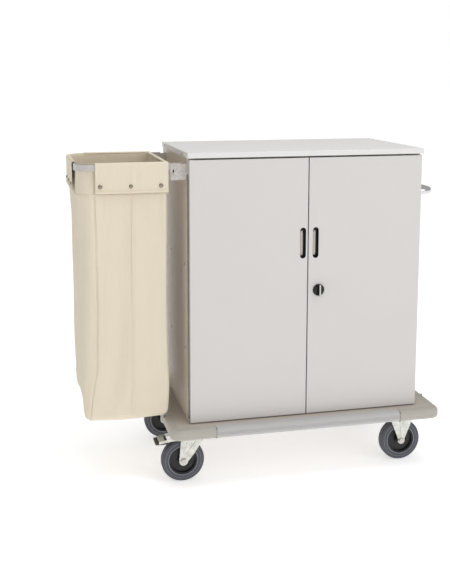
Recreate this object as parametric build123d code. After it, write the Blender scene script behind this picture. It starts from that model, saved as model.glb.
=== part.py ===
from build123d import *
import os

# Housekeeping cart: a two-door sheet-steel cabinet on a bumpered base with four casters,
# a canvas bag on a hoop at the left end and a push handle at the right end.
# Millimetres, +Z up, doors towards -Y, floor at z = 0.
# Everything is laid out about the middle of the cabinet. CABINET_X then moves it so that
# the origin is under the middle of the whole cart.

# Driving dimensions
CABINET_X = 143.75       # from the cart's middle to the cabinet's middle
TOP_Z = 1146.0           # worktop surface
TOP_HALF_W = 419.0       # worktop half width
HALF_D = 250.0           # worktop half depth, with the doors
FRAME_Y = -226.0         # front face of the cabinet frame, behind the doors
REAR_Y = 247.5           # rear face of the side panels
FASCIA = 18.0            # height of the worktop's folded edge
DECK_Z = 218.0           # top of the base deck
DECK_HALF_W = 459.0
DECK_HALF_D = 275.0
PAN_H = 32.0             # depth of the base pan's folded sides
BUMPER_OUT = 30.0        # how far the bumper stands out from the deck
BUMPER_H = 38.0
BUMPER_CORNER = 126.0    # half-length cut from the deck size that a corner piece covers
SIDE_X = 415.5           # outer face of a side panel
SHEET = 1.5              # sheet steel of the body
DOOR_X = 412.0           # outer edge of a door
DOOR_GAP = 2.0           # inner edge of a door from the middle
DOOR_LOW = 222.0
DOOR_HIGH = 1122.0
DOOR_BACK = -231.0       # rear face of a closed door
SKIN = 1.2               # sheet steel of the doors
PIN_X = 414.5            # door hinge pin
PIN_Y = -229.0
PIN_R = 1.3
KNUCKLE_R = 2.8
KNUCKLE_H = 60.0
SHELF_Z = {"lower": 480.0, "upper": 774.0}
SHELF_FLANGE = 25.0
PULL_X = {"left": -18.5, "right": 27.0}
PULL_Z = 830.0
PULL_W = 20.5
PULL_H = 107.0
PULL_DEPTH = 14.0
LOCK_X = 39.0
LOCK_Z = 664.0
LOCK_R = 11.0            # barrel
PLUG_R = 8.0
BOLT_X = -24.0
BOLT_Y = -226.5
SWIVEL_X = -392.0        # swivel caster kingpin
TRAIL = 40.0             # wheel axle behind the kingpin
RIGID_X = 377.0          # rigid caster axle
CASTER_Y = 198.0
WHEEL_R = 75.0
WHEEL_W = 32.0
HUB_R = 49.95
PLATE_Z = DECK_Z - PAN_H     # underside of the base, where the caster plates bolt on
PLATE_T = 3.0
LEG_IN = 21.5            # inner face of a fork leg from the wheel's mid-plane
LEG_T = 2.5
AXLE_R = 6.0
RACE_Z = 175.0           # where the swivel race of the fork ends
CROWN_Z = 166.0          # underside of a swivel fork's crown
BRAKE_BACK = 14.0        # brake pivot behind the kingpin
BRAKE_Z = 157.0
HOOP_LEFT = -780.0       # bag hoop, to the middle of its bar
HOOP_FRONT = -219.0
HOOP_REAR = 189.0
HOOP_TOP = 1112.0
HOOP_BAR_H = 22.0
HOOP_BAR_T = 5.0
HOOP_BEND = 62.0
CROSSBAR_X = -482.0
BRACKET_PITCH = HOOP_REAR - HOOP_FRONT
BAG_FLOOR = 240.0
BAG_WALL = 3.0
FLAP_TOP = 1116.0
FLAP_LOW = 1015.0
SNAP_Z = 1039.0
HANDLE_Z = 985.0
HANDLE_OUT = 492.0
HANDLE_HALF = 165.0
HANDLE_R = 12.5

os.makedirs("parts", exist_ok=True)


# ---- small helpers ----

def save(name, shape):
    moved = Pos(CABINET_X, 0, 0) * shape
    moved.label = name
    export_step(moved, f"parts/{name}.step")


def group(solids):
    return Compound(children=list(solids))


def box(x0, x1, y0, y1, z0, z1):
    middle = Pos((x0 + x1) / 2, (y0 + y1) / 2, (z0 + z1) / 2)
    return middle * Box(abs(x1 - x0), abs(y1 - y0), abs(z1 - z0))


def rod_x(x0, x1, y, z, r):
    return Pos((x0 + x1) / 2, y, z) * Rot(0, 90, 0) * Cylinder(r, abs(x1 - x0))


def rod_y(x, y0, y1, z, r):
    return Pos(x, (y0 + y1) / 2, z) * Rot(90, 0, 0) * Cylinder(r, abs(y1 - y0))


def rod_z(x, y, z0, z1, r):
    return Pos(x, y, (z0 + z1) / 2) * Cylinder(r, abs(z1 - z0))


def hex_y(x, y0, y1, z, flats):
    face = Plane.XZ.offset(-y0) * RegularPolygon(flats / 2, 6, major_radius=False)
    return Pos(x, 0, z) * extrude(face, -(y1 - y0))


def hex_z(x, y, z0, z1, flats):
    face = RegularPolygon(flats / 2, 6, major_radius=False)
    return Pos(x, y, z0) * extrude(face, z1 - z0)


def slot_y(x, z, width, height, y0, y1):
    face = Plane.XZ.offset(-y0) * (Rot(0, 0, 90) * SlotOverall(height, width))
    return Pos(x, 0, z) * extrude(face, -(y1 - y0))


def profile_y(points, y0, y1):
    """A straight-sided outline in X and Z, between two Y planes."""
    face = Plane.XZ.offset(-y0) * make_face(Polyline(*points, close=True))
    return extrude(face, -(y1 - y0))


def rounded_z(x0, x1, y0, y1, r, z0, z1):
    middle = Pos((x0 + x1) / 2, (y0 + y1) / 2, z0)
    return middle * extrude(RectangleRounded(x1 - x0, y1 - y0, r), z1 - z0)


def screw_x(x_face, x_tip, y, z, side):
    """A pan-head screw whose head sits on x_face and whose shank runs inwards."""
    head = rod_x(x_face, x_face + side * 2.4, y, z, 4.5)
    return head + rod_x(x_face, x_tip, y, z, 2.5)


# ---- where the screws go, shared by the screws and the holes they pass ----

SHELF_SCREW_Y = (-181.0, 88.0)
SHELF_SCREW_Z = tuple(z - 11.0 for z in SHELF_Z.values())
TOP_SCREW_Y = (-160.0, 190.0)
TOP_SCREW_Z = TOP_Z - 9.0
FLOOR_SCREW_Z = 229.0
BRACKET_SCREW_DY = 24.0
BRACKET_SCREW_Z = (1066.0, 1098.0)
HANDLE_SCREWS = [(dy, dz) for dy in (-19.0, 19.0) for dz in (-12.0, 12.0)]
HANDLE_FLANGE = 28.0
PLATE_Y = HOOP_FRONT - 5.5      # front face of the front bag bracket


def side_hole_places(side):
    places = [(y, z) for y in SHELF_SCREW_Y for z in (*SHELF_SCREW_Z, FLOOR_SCREW_Z)]
    places += [(y, TOP_SCREW_Z) for y in TOP_SCREW_Y]
    if side < 0:
        for base in (PLATE_Y, PLATE_Y + BRACKET_PITCH):
            places += [(base + BRACKET_SCREW_DY, z) for z in BRACKET_SCREW_Z]
    else:
        for post in (-HANDLE_HALF, HANDLE_HALF):
            places += [(post + dy, HANDLE_Z + dz) for dy, dz in HANDLE_SCREWS]
    return places


def drilled_x(shape, x0, x1, places, r=2.55):
    for y, z in places:
        shape -= rod_x(x0, x1, y, z, r)
    return shape


# ---- base ----

def base_pan():
    outer = box(-DECK_HALF_W, DECK_HALF_W, -DECK_HALF_D, DECK_HALF_D, PLATE_Z, DECK_Z)
    inner = box(2 - DECK_HALF_W, DECK_HALF_W - 2, 2 - DECK_HALF_D, DECK_HALF_D - 2,
                PLATE_Z - 1, DECK_Z - 2)
    outer = fillet(outer.edges().filter_by(Axis.Z), 4)
    return outer - fillet(inner.edges().filter_by(Axis.Z), 2)


def bolt_places(x, y):
    return [(x + dx, y + dy) for dx in (-40, 40) for dy in (-30, 30)]


def caster_places():
    return [(x, y) for x in (SWIVEL_X, RIGID_X) for y in (-CASTER_Y, CASTER_Y)]


def base_channel(x):
    end = DECK_HALF_D - 2.5
    web = 62.0
    shape = box(x - web, x + web, -end, end, PLATE_Z, DECK_Z - 2)
    shape -= box(x + 3 - web, x + web - 3, -end - 1, end + 1, PLATE_Z + 3, DECK_Z)
    for y in (-CASTER_Y, CASTER_Y):
        shape -= rod_z(x, y, PLATE_Z - 1, PLATE_Z + 4, 16)
        for bx, by in bolt_places(x, y):
            shape -= rod_z(bx, by, PLATE_Z - 1, PLATE_Z + 4, 4.1)
    return shape


def bumper_face():
    """Rounded D section, flat back on the deck edge, drawn in X (outwards) and Y (up)."""
    low = DECK_Z - BUMPER_H
    r = 13.0
    back = 0.1
    corners = ((back, low), (BUMPER_OUT, low), (BUMPER_OUT, DECK_Z), (back, DECK_Z))
    face = make_face(Polyline(*corners, close=True))
    outer = [v for v in face.vertices() if v.X > BUMPER_OUT / 2]
    return fillet(outer, r)


def bumper_rail_x(side):
    half = DECK_HALF_W - BUMPER_CORNER
    plane = Plane(origin=(-half, side * DECK_HALF_D, 0), x_dir=(0, side, 0), z_dir=(side, 0, 0))
    return extrude(plane * bumper_face(), side * 2 * half)


def bumper_rail_y(side):
    half = DECK_HALF_D - BUMPER_CORNER
    plane = Plane(origin=(side * DECK_HALF_W, -half, 0), x_dir=(side, 0, 0), z_dir=(0, -side, 0))
    return extrude(plane * bumper_face(), -side * 2 * half)


def bumper_corner(sx, sy):
    """Moulded corner: the rail's section turned through a small arc, with two short legs."""
    leg = BUMPER_CORNER - 0.4
    turn = 4.0
    face = bumper_face()
    first = extrude(Plane(origin=(0, -leg, 0), x_dir=(1, 0, 0), z_dir=(0, -1, 0)) * face, -(leg - turn))
    second = extrude(Plane(origin=(-leg, 0, 0), x_dir=(0, 1, 0), z_dir=(1, 0, 0)) * face, leg - turn)
    centre = (-turn, -turn, 0)
    plane = Plane(origin=(-turn, -turn, 0), x_dir=(1, 0, 0), z_dir=(0, -1, 0))
    swept = revolve(plane * (Pos(turn, 0, 0) * face), Axis(centre, (0, 0, 1)), 90)
    shape = first + second + swept
    if sx < 0:
        shape = mirror(shape, Plane.YZ)
    if sy < 0:
        shape = mirror(shape, Plane.XZ)
    return Pos(sx * DECK_HALF_W, sy * DECK_HALF_D, 0) * shape


def base():
    save("base_pan", base_pan())
    save("base_channels", group(base_channel(x) for x in (SWIVEL_X, RIGID_X)))
    save("bumper_rails_long", group(bumper_rail_x(s) for s in (-1, 1)))
    save("bumper_rails_short", group(bumper_rail_y(s) for s in (-1, 1)))
    save("bumper_corners", group(bumper_corner(sx, sy) for sx in (-1, 1) for sy in (-1, 1)))


# ---- cabinet ----

TOP_UNDER = TOP_Z - 2.0
SHELF_FRONT = -221.0
SHELF_REAR = 244.0


def side_panel(side):
    inner = SIDE_X - SHEET
    lip = inner - 25.0
    top = TOP_UNDER - 0.1
    shape = box(side * lip, side * SIDE_X, FRAME_Y, REAR_Y, DECK_Z, top)
    shape -= box(side * (lip - 1), side * inner, FRAME_Y + SHEET, REAR_Y - SHEET, DECK_Z - 1, top + 1)
    return drilled_x(shape, side * (lip + 12), side * (SIDE_X + 1), side_hole_places(side))


def back_panel():
    wide = SIDE_X - SHEET - 0.2
    rear = REAR_Y - SHEET - 0.1
    return box(-wide, wide, rear - SHEET, rear, DECK_Z + 1, TOP_UNDER - 1)


def cabinet_floor():
    wide = SIDE_X - SHEET - 0.2
    top = 240.0
    shape = box(-wide, wide, SHELF_FRONT, SHELF_REAR, DECK_Z + 0.2, top)
    shape -= box(-wide + SHEET, wide - SHEET, SHELF_FRONT + SHEET, SHELF_REAR + 1, DECK_Z, top - SHEET)
    places = [(y, FLOOR_SCREW_Z) for y in SHELF_SCREW_Y]
    return drilled_x(shape, -wide - 1, wide + 1, places)


def shelf(top):
    """A folded shelf with flanges down at the front and sides and a rolled front lip."""
    wide = SIDE_X - SHEET - 0.2
    low = top - SHELF_FLANGE
    shape = box(-wide, wide, SHELF_FRONT, SHELF_REAR, low, top)
    shape -= box(-wide + SHEET, wide - SHEET, SHELF_FRONT + SHEET, SHELF_REAR - SHEET, low - 1, top - SHEET)
    shape += box(-wide + 1, wide - 1, SHELF_FRONT + 1, SHELF_FRONT + 12, low, low + SHEET)
    return drilled_x(shape, -wide - 1, wide + 1, [(y, top - 11.0) for y in SHELF_SCREW_Y])


def header_rail():
    """Angle across the front opening, over the doors, which takes the door bolt."""
    wide = 388.0
    shape = box(-wide, wide, -232, -219.5, 1124.2, 1125.7)
    shape += box(-wide, wide, -221, -219.5, 1098, 1125.7)
    return shape - rod_z(BOLT_X, BOLT_Y, 1120, 1130, 4.4)


def top_panel():
    shape = box(-TOP_HALF_W, TOP_HALF_W, -HALF_D, HALF_D, TOP_Z - FASCIA, TOP_Z)
    shape = fillet(shape.edges().filter_by(Axis.Z), 4)
    shape = fillet(shape.faces().sort_by(Axis.Z)[-1].edges(), 1.6)
    hollow = box(2 - TOP_HALF_W, TOP_HALF_W - 2, 2 - HALF_D, HALF_D - 2, 1000, TOP_UNDER)
    shape -= fillet(hollow.edges().filter_by(Axis.Z), 2)
    places = [(y, TOP_SCREW_Z) for y in TOP_SCREW_Y]
    return drilled_x(shape, -TOP_HALF_W - 1, TOP_HALF_W + 1, places)


def bolt_keeper():
    shape = box(BOLT_X - 14, BOLT_X + 14, -231, -221.5, 1125.7, 1127.7)
    return shape - rod_z(BOLT_X, BOLT_Y, 1120, 1130, 4.4)


def panel_screws():
    screws = []
    for side in (-1, 1):
        for y in SHELF_SCREW_Y:
            for z in (*SHELF_SCREW_Z, FLOOR_SCREW_Z):
                screws.append(screw_x(side * SIDE_X, side * (SIDE_X - 8), y, z, side))
        for y in TOP_SCREW_Y:
            screws.append(screw_x(side * TOP_HALF_W, side * (SIDE_X - 6), y, TOP_SCREW_Z, side))
    for base_y in (PLATE_Y, PLATE_Y + BRACKET_PITCH):
        for z in BRACKET_SCREW_Z:
            screws.append(screw_x(-SIDE_X - 2.6, 6 - SIDE_X, base_y + BRACKET_SCREW_DY, z, -1))
    for post in (-HANDLE_HALF, HANDLE_HALF):
        for dy, dz in HANDLE_SCREWS:
            screws.append(screw_x(SIDE_X + 4.1, SIDE_X - 8, post + dy, HANDLE_Z + dz, 1))
    return group(screws)


def cabinet():
    save("side_panel_left", side_panel(-1))
    save("side_panel_right", side_panel(1))
    save("back_panel", back_panel())
    save("cabinet_floor", cabinet_floor())
    save("header_rail", header_rail())
    save("top_panel", top_panel())
    for place, top in SHELF_Z.items():
        save(f"shelf_{place}", shelf(top))
    save("panel_screws", panel_screws())
    save("bolt_keeper", bolt_keeper())


# ---- door hinges: a continuous hinge down the outer edge of each door ----

def hinge_leaf(side, owner):
    """owner 0 is the frame leaf, owner 1 the door leaf; their knuckles alternate."""
    low = DOOR_LOW + 10
    count = int((DOOR_HIGH - 10 - low) // KNUCKLE_H)
    high = low + count * KNUCKLE_H
    thick = 1.2
    leaf_y = DOOR_BACK if owner else FRAME_Y - thick
    near = PIN_X - KNUCKLE_R - 0.5
    shape = box(side * (near - 20), side * near, leaf_y, leaf_y + thick, low, high)
    for i in range(owner, count, 2):
        z0 = low + i * KNUCKLE_H + 0.2
        z1 = z0 + KNUCKLE_H - 0.4
        shape += box(side * (near - 1), side * PIN_X, leaf_y, leaf_y + thick, z0, z1)
        shape += rod_z(side * PIN_X, PIN_Y, z0, z1, KNUCKLE_R)
    return shape - rod_z(side * PIN_X, PIN_Y, low - 1, high + 1, PIN_R + 0.05)


def hinges():
    low = DOOR_LOW + 10
    high = low + int((DOOR_HIGH - 10 - low) // KNUCKLE_H) * KNUCKLE_H
    save("hinge_frame_leaves", group(hinge_leaf(s, 0) for s in (-1, 1)))
    save("hinge_door_leaf_left", hinge_leaf(-1, 1))
    save("hinge_door_leaf_right", hinge_leaf(1, 1))
    save("hinge_pins", group(rod_z(s * PIN_X, PIN_Y, low - 2, high + 2, PIN_R) for s in (-1, 1)))


# ---- doors ----

def door_skin(side):
    x0, x1 = side * DOOR_GAP, side * DOOR_X
    t = side * SKIN
    shape = box(x0, x1, -HALF_D, DOOR_BACK, DOOR_LOW, DOOR_HIGH)
    shape = fillet(shape.faces().sort_by(Axis.Y)[0].edges(), 1.0)
    shape -= box(x0 + t, x1 - t, SKIN - HALF_D, 0, DOOR_LOW + SKIN, DOOR_HIGH - SKIN)
    pull_x = PULL_X["left" if side < 0 else "right"]
    shape -= slot_y(pull_x, PULL_Z, PULL_W + 0.2, PULL_H + 0.2, -HALF_D - 1, 5 - HALF_D)
    if side > 0:
        shape -= rod_y(LOCK_X, -HALF_D - 1, 5 - HALF_D, LOCK_Z, LOCK_R + 0.1)
    return shape


def door_liner(side):
    x0, x1 = side * (DOOR_GAP + SKIN + 0.1), side * (DOOR_X - SKIN - 0.1)
    low, high = DOOR_LOW + SKIN + 0.1, DOOR_HIGH - SKIN - 0.1
    shape = box(x0, x1, DOOR_BACK - SKIN, DOOR_BACK, low, high)
    if side > 0:
        shape -= rod_y(LOCK_X, DOOR_BACK - 5, DOOR_BACK + 5, LOCK_Z, LOCK_R + 0.1)
    return shape


def door_pull(x):
    shape = slot_y(x, PULL_Z, PULL_W, PULL_H, -HALF_D, PULL_DEPTH - HALF_D)
    return shape - slot_y(x, PULL_Z, PULL_W - 2, PULL_H - 2, -HALF_D - 1, PULL_DEPTH - 1.5 - HALF_D)


def lock_body():
    """Round escutcheon, barrel and the nut behind the liner, bored for the plug."""
    shape = rod_y(LOCK_X, -HALF_D - 3, -HALF_D, LOCK_Z, 20.5)
    shape += rod_y(LOCK_X, -HALF_D - 6, -HALF_D - 3, LOCK_Z, 15)
    shape += rod_y(LOCK_X, -HALF_D, DOOR_BACK + 1, LOCK_Z, LOCK_R)
    shape += hex_y(LOCK_X, DOOR_BACK, DOOR_BACK + 2, LOCK_Z, 27)
    return shape - rod_y(LOCK_X, -HALF_D - 7, DOOR_BACK + 3, LOCK_Z, PLUG_R + 0.05)


def lock_plug():
    """Plug with a thumb-turn bar across its face and a tail that carries the cam."""
    face = -HALF_D - 6.4
    shape = rod_y(LOCK_X, face, DOOR_BACK + 2.2, LOCK_Z, PLUG_R)
    shape += rod_y(LOCK_X, DOOR_BACK + 2.2, DOOR_BACK + 4.6, LOCK_Z, 4)
    bar = slot_y(LOCK_X, LOCK_Z, 5, 42, face - 14, face)
    return shape + bar


def lock_cam():
    y0, y1 = DOOR_BACK + 2.4, DOOR_BACK + 4.4
    shape = rod_y(LOCK_X, y0, y1, LOCK_Z, 9) + box(LOCK_X - 7, LOCK_X + 7, y0, y1, LOCK_Z - 58, LOCK_Z)
    return shape - rod_y(LOCK_X, y0 - 1, y1 + 1, LOCK_Z, 4.02)


def bolt_case():
    """Strap on the left door's liner that guides the bolt."""
    shape = box(BOLT_X - 13, BOLT_X + 13, DOOR_BACK, DOOR_BACK + 1.5, 1030, 1112)
    for z in (1036, 1098):
        shape += box(BOLT_X - 7, BOLT_X + 7, DOOR_BACK + 1.4, -222, z, z + 12)
    return shape - rod_z(BOLT_X, BOLT_Y, 1020, 1120, 3.1)


def bolt_rod():
    return rod_z(BOLT_X, BOLT_Y, 1026, 1118, 3) + rod_y(BOLT_X, -224, -206, 1066, 2.5)


def doors():
    for name, side in (("left", -1), ("right", 1)):
        save(f"door_{name}_skin", door_skin(side))
        save(f"door_{name}_liner", door_liner(side))
        save(f"door_{name}_pull", door_pull(PULL_X[name]))
    save("lock_body", lock_body())
    save("lock_plug", lock_plug())
    save("lock_cam", lock_cam())
    save("bolt_case", bolt_case())
    save("bolt_rod", bolt_rod())


# ---- bag, hoop and brackets ----

def bag_bracket(y0):
    """Angle bracket: flange on the side panel, plate facing forwards with a drop-in slot."""
    low, high = 1055.0, 1109.0
    plate = box(-471, -SIDE_X - 0.1, y0, y0 + 2.5, low, high)
    plate = fillet(plate.edges().filter_by(Axis.Y).group_by(Axis.X)[0], 4)
    shape = plate + box(-SIDE_X - 2.6, -SIDE_X - 0.1, y0, y0 + 42, low, high)
    shape -= slot_y(-461, 1082, 5, 16, y0 - 1, y0 + 4)
    places = [(y0 + BRACKET_SCREW_DY, z) for z in BRACKET_SCREW_Z]
    return drilled_x(shape, -430, -410, places)


def bag_hoop():
    t = HOOP_BAR_T / 2
    low = HOOP_TOP - HOOP_BAR_H
    far = -300.0
    shape = rounded_z(HOOP_LEFT - t, far, HOOP_FRONT - t, HOOP_REAR + t, HOOP_BEND + t, low, HOOP_TOP)
    shape -= rounded_z(HOOP_LEFT + t, far + 60, HOOP_FRONT + t, HOOP_REAR - t, HOOP_BEND - t,
                       low - 1, HOOP_TOP + 1)
    shape -= box(-436, far + 80, HOOP_FRONT - 20, HOOP_REAR + 20, low - 2, HOOP_TOP + 2)
    shape += box(CROSSBAR_X - t, CROSSBAR_X + t, HOOP_FRONT, HOOP_REAR, low, HOOP_TOP)
    for y in (HOOP_FRONT, HOOP_REAR):
        shape += box(-466, -456, y - t, y + t, low - 16, low + 1)
        shape += rod_y(-461, y - 7.5, y - t + 0.5, 1078, 2.4)
    return shape


def canvas_bag():
    """Open-topped bag: a neck inside the hoop and a body as wide as the hoop below it."""
    neck_low = 1086.0
    t = HOOP_BAR_T / 2 + 0.5
    w = BAG_WALL
    left, right = HOOP_LEFT + t, CROSSBAR_X - t
    front, rear = HOOP_FRONT + t, HOOP_REAR - t
    r = HOOP_BEND - t
    body = rounded_z(left - 5, right + 6, front - 5, rear + 5, 20, BAG_FLOOR, neck_low)
    neck = rounded_z(left, right, front, rear, r, neck_low - 1, HOOP_TOP)
    hollow = rounded_z(left + w, right - w, front + w, rear - w, r - w, neck_low - 20, HOOP_TOP + 1)
    hollow += rounded_z(left - 5 + w, right + 6 - w, front - 5 + w, rear + 5 - w, 20 - w,
                        BAG_FLOOR + w, neck_low - w)
    return body + neck - hollow


def bag_flap_y(y_out, y_in):
    leg = 3.0 if y_in > y_out else -3.0
    x0, x1 = -719.0, -478.0
    shape = box(x0, x1, y_out, y_out + leg, FLAP_LOW, FLAP_TOP)
    return shape + box(x0, x1, y_out, y_in, FLAP_TOP - 3, FLAP_TOP)


def bag_flap_x(x_out, x_in, y0, y1, low):
    leg = 3.0 if x_in > x_out else -3.0
    shape = box(x_out, x_out + leg, y0, y1, low, FLAP_TOP)
    return shape + box(x_out, x_in, y0, y1, FLAP_TOP - 3, FLAP_TOP)


FLAP_FRONT = HOOP_FRONT - 8.5
FLAP_REAR = HOOP_REAR + 8.5
FLAP_LEFT = HOOP_LEFT - 9.0


def bag_flaps():
    return group([
        bag_flap_y(FLAP_FRONT, HOOP_FRONT + 6),
        bag_flap_y(FLAP_REAR, HOOP_REAR - 6),
        bag_flap_x(FLAP_LEFT, HOOP_LEFT + 7, -135, 125, FLAP_LOW),
        bag_flap_x(CROSSBAR_X + 7.5, CROSSBAR_X - 6, -205, 175, FLAP_LOW + 20),
    ])


def bag_snaps():
    snaps = []
    for x in (-702.5, -601.5, -502.5):
        snaps.append(rod_y(x, FLAP_FRONT - 3, FLAP_FRONT, SNAP_Z, 6.5))
        snaps.append(rod_y(x, FLAP_REAR, FLAP_REAR + 3, SNAP_Z, 6.5))
    for y in (-105.0, -5.0, 95.0):
        snaps.append(rod_x(FLAP_LEFT - 3, FLAP_LEFT, y, SNAP_Z, 6.5))
    return group(snaps)


def bag():
    save("bag_bracket_front", bag_bracket(PLATE_Y))
    save("bag_bracket_rear", bag_bracket(PLATE_Y + BRACKET_PITCH))
    save("bag_hoop", bag_hoop())
    save("canvas_bag", canvas_bag())
    save("bag_flaps", bag_flaps())
    save("bag_snaps", bag_snaps())


# ---- push handle ----

def push_handle():
    bend = 38.0
    start = SIDE_X + 2.0
    path = FilletPolyline(
        (start, -HANDLE_HALF, HANDLE_Z), (HANDLE_OUT, -HANDLE_HALF, HANDLE_Z),
        (HANDLE_OUT, HANDLE_HALF, HANDLE_Z), (start, HANDLE_HALF, HANDLE_Z), radius=bend)
    plane = Plane(origin=(start, -HANDLE_HALF, HANDLE_Z), z_dir=(1, 0, 0))
    shape = sweep(plane * (Circle(HANDLE_R) - Circle(HANDLE_R - 2)), path=path)
    for y in (-HANDLE_HALF, HANDLE_HALF):
        flange = rod_x(SIDE_X + 0.1, SIDE_X + 4.1, y, HANDLE_Z, HANDLE_FLANGE)
        shape += fillet(flange.edges().group_by(Axis.X)[-1], 1)
        for dy, dz in HANDLE_SCREWS:
            shape -= rod_x(SIDE_X - 1, SIDE_X + 8, y + dy, HANDLE_Z + dz, 2.55)
    return shape


# ---- casters ----

def caster_plate(x, y):
    shape = box(x - 52, x + 52, y - 42, y + 42, PLATE_Z - PLATE_T, PLATE_Z)
    return fillet(shape.edges().filter_by(Axis.Z), 8)


def plate_holes(shape, x, y):
    for bx, by in bolt_places(x, y):
        shape -= rod_z(bx, by, PLATE_Z - 5, PLATE_Z + 1, 4.1)
    return shape


def swivel_plate(y):
    shape = caster_plate(SWIVEL_X, y) + rod_z(SWIVEL_X, y, RACE_Z + 0.5, PLATE_Z - 1, 27)
    shape -= rod_z(SWIVEL_X, y, 150, 200, AXLE_R + 0.05)
    return plate_holes(shape, SWIVEL_X, y)


def kingpin(y):
    shape = rod_z(SWIVEL_X, y, 159, PLATE_Z + 5, AXLE_R)
    shape += rod_z(SWIVEL_X, y, PLATE_Z + 0.1, PLATE_Z + 5, 11)
    return shape + hex_z(SWIVEL_X, y, 159, CROWN_Z - 0.4, 19)


def caster_bolts():
    bolts = []
    for x, y in caster_places():
        for bx, by in bolt_places(x, y):
            shape = rod_z(bx, by, PLATE_Z - PLATE_T - 5, PLATE_Z + 12, 4)
            shape += hex_z(bx, by, PLATE_Z - PLATE_T - 5, PLATE_Z - PLATE_T, 13)
            shape += hex_z(bx, by, PLATE_Z + 3, PLATE_Z + 9, 13)
            bolts.append(shape)
    return group(bolts)


def leg_pair(points, tip_x, tip_r, ridges, y):
    """Both legs of a fork: a pressed plate each side of the wheel, with stiffening ridges."""
    legs = None
    for side in (-1, 1):
        y0, y1 = y + side * LEG_IN, y + side * (LEG_IN + LEG_T)
        leg = profile_y(points, min(y0, y1), max(y0, y1))
        leg += rod_y(tip_x, y0, y1, WHEEL_R, tip_r)
        for ridge in ridges:
            leg += profile_y(ridge, min(y1, y1 + side * 1.5), max(y1, y1 + side * 1.5))
        legs = leg if legs is None else legs + leg
    return legs


def swivel_fork(y):
    axle_x = SWIVEL_X - TRAIL
    crown_top = CROWN_Z + 3
    reach = LEG_IN + LEG_T
    outline = [(SWIVEL_X + 42, crown_top), (SWIVEL_X - 42, crown_top), (SWIVEL_X - 50, 140),
               (axle_x - 15, WHEEL_R + 4), (axle_x + 15, WHEEL_R - 2), (SWIVEL_X - 3, 100)]
    ridges = []
    for top, low in ((16, -28), (-16, -38)):
        ridges.append([(SWIVEL_X + top + 4, 158), (SWIVEL_X + top - 4, 158),
                       (SWIVEL_X + low - 3, 102), (SWIVEL_X + low + 3, 102)])
    shape = leg_pair(outline, axle_x, 15, ridges, y)
    shape += box(SWIVEL_X - 42, SWIVEL_X + 42, y - reach, y + reach, CROWN_Z, crown_top)
    shape += rod_z(SWIVEL_X, y, CROWN_Z + 1, RACE_Z, 31)
    shape -= rod_z(SWIVEL_X, y, 150, 180, AXLE_R + 0.08)
    shape -= rod_y(axle_x, y - 40, y + 40, WHEEL_R, AXLE_R + 0.05)
    return shape - rod_y(SWIVEL_X - BRAKE_BACK, y - 40, y + 40, BRAKE_Z, 3.05)


def rigid_fork(y):
    low = PLATE_Z - PLATE_T
    outline = [(RIGID_X + 42, low + 1), (RIGID_X - 42, low + 1), (RIGID_X - 40, 150),
               (RIGID_X - 11, WHEEL_R + 3), (RIGID_X + 11, WHEEL_R + 3), (RIGID_X + 40, 150)]
    ridges = [[(RIGID_X + 7, 168), (RIGID_X - 7, 168), (RIGID_X - 4, 102), (RIGID_X + 4, 102)]]
    shape = leg_pair(outline, RIGID_X, 13, ridges, y) + caster_plate(RIGID_X, y)
    for bx, by in bolt_places(RIGID_X, y):
        shape -= rod_z(bx, by, 120, PLATE_Z + 1, 8) - rod_z(bx, by, low, PLATE_Z + 2, 9)
    shape = plate_holes(shape, RIGID_X, y)
    return shape - rod_y(RIGID_X, y - 40, y + 40, WHEEL_R, AXLE_R + 0.05)


def axle(x, y):
    out = LEG_IN + LEG_T + 0.1
    shape = rod_y(x, y - out - 6, y + out + 8, WHEEL_R, AXLE_R)
    shape += hex_y(x, y - out - 6, y - out, WHEEL_R, 18)
    return shape + hex_y(x, y + out, y + out + 6, WHEEL_R, 18)


def tyre(x, y):
    half = WHEEL_W / 2
    shape = rod_y(x, y - half, y + half, WHEEL_R, WHEEL_R)
    shape = fillet(shape.edges(), 7)
    return shape - rod_y(x, y - 30, y + 30, WHEEL_R, HUB_R + 0.05)


def wheel_hub(x, y):
    """Moulded centre: rim, thin web and a long boss bored for the axle."""
    half = WHEEL_W / 2 - 2
    shape = rod_y(x, y - half, y + half, WHEEL_R, HUB_R)
    for side in (-1, 1):
        groove = rod_y(x, y + side * 6, y + side * 30, WHEEL_R, HUB_R - 5)
        shape -= groove - rod_y(x, y - 31, y + 31, WHEEL_R, 19)
    shape += rod_y(x, y - LEG_IN + 1, y + LEG_IN - 1, WHEEL_R, 13)
    return shape - rod_y(x, y - 40, y + 40, WHEEL_R, AXLE_R + 0.1)


def brake_lever(y):
    """Bent strap outside the fork legs, with a shoe over the tyre and a toe plate."""
    pivot = SWIVEL_X - BRAKE_BACK
    inner = LEG_IN + LEG_T + 1.8
    outline = [(pivot + 8, 165), (pivot - 60, 164), (pivot - 112, 154), (pivot - 112, 146),
               (pivot - 62, 153), (pivot + 8, 149)]
    shape = None
    for side in (-1, 1):
        y0, y1 = y + side * inner, y + side * (inner + 2)
        arm = profile_y(outline, min(y0, y1), max(y0, y1))
        shape = arm if shape is None else shape + arm
    wide = inner + 1
    shape += box(pivot - 62, pivot - 50, y - wide, y + wide, 156.5, 159.5)
    shape += box(pivot - 112, pivot - 90, y - wide, y + wide, 151, 153)
    return shape + rod_y(pivot, y - wide, y + wide, BRAKE_Z, 3)


def brake_pad(y):
    """Moulded toe pad that slips over the end of the lever."""
    pivot = SWIVEL_X - BRAKE_BACK
    shape = box(pivot - 122, pivot - 88, y - 24, y + 24, 142, 150.8)
    shape = fillet(shape.edges().filter_by(Axis.Y), 3.5)
    return shape


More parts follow.
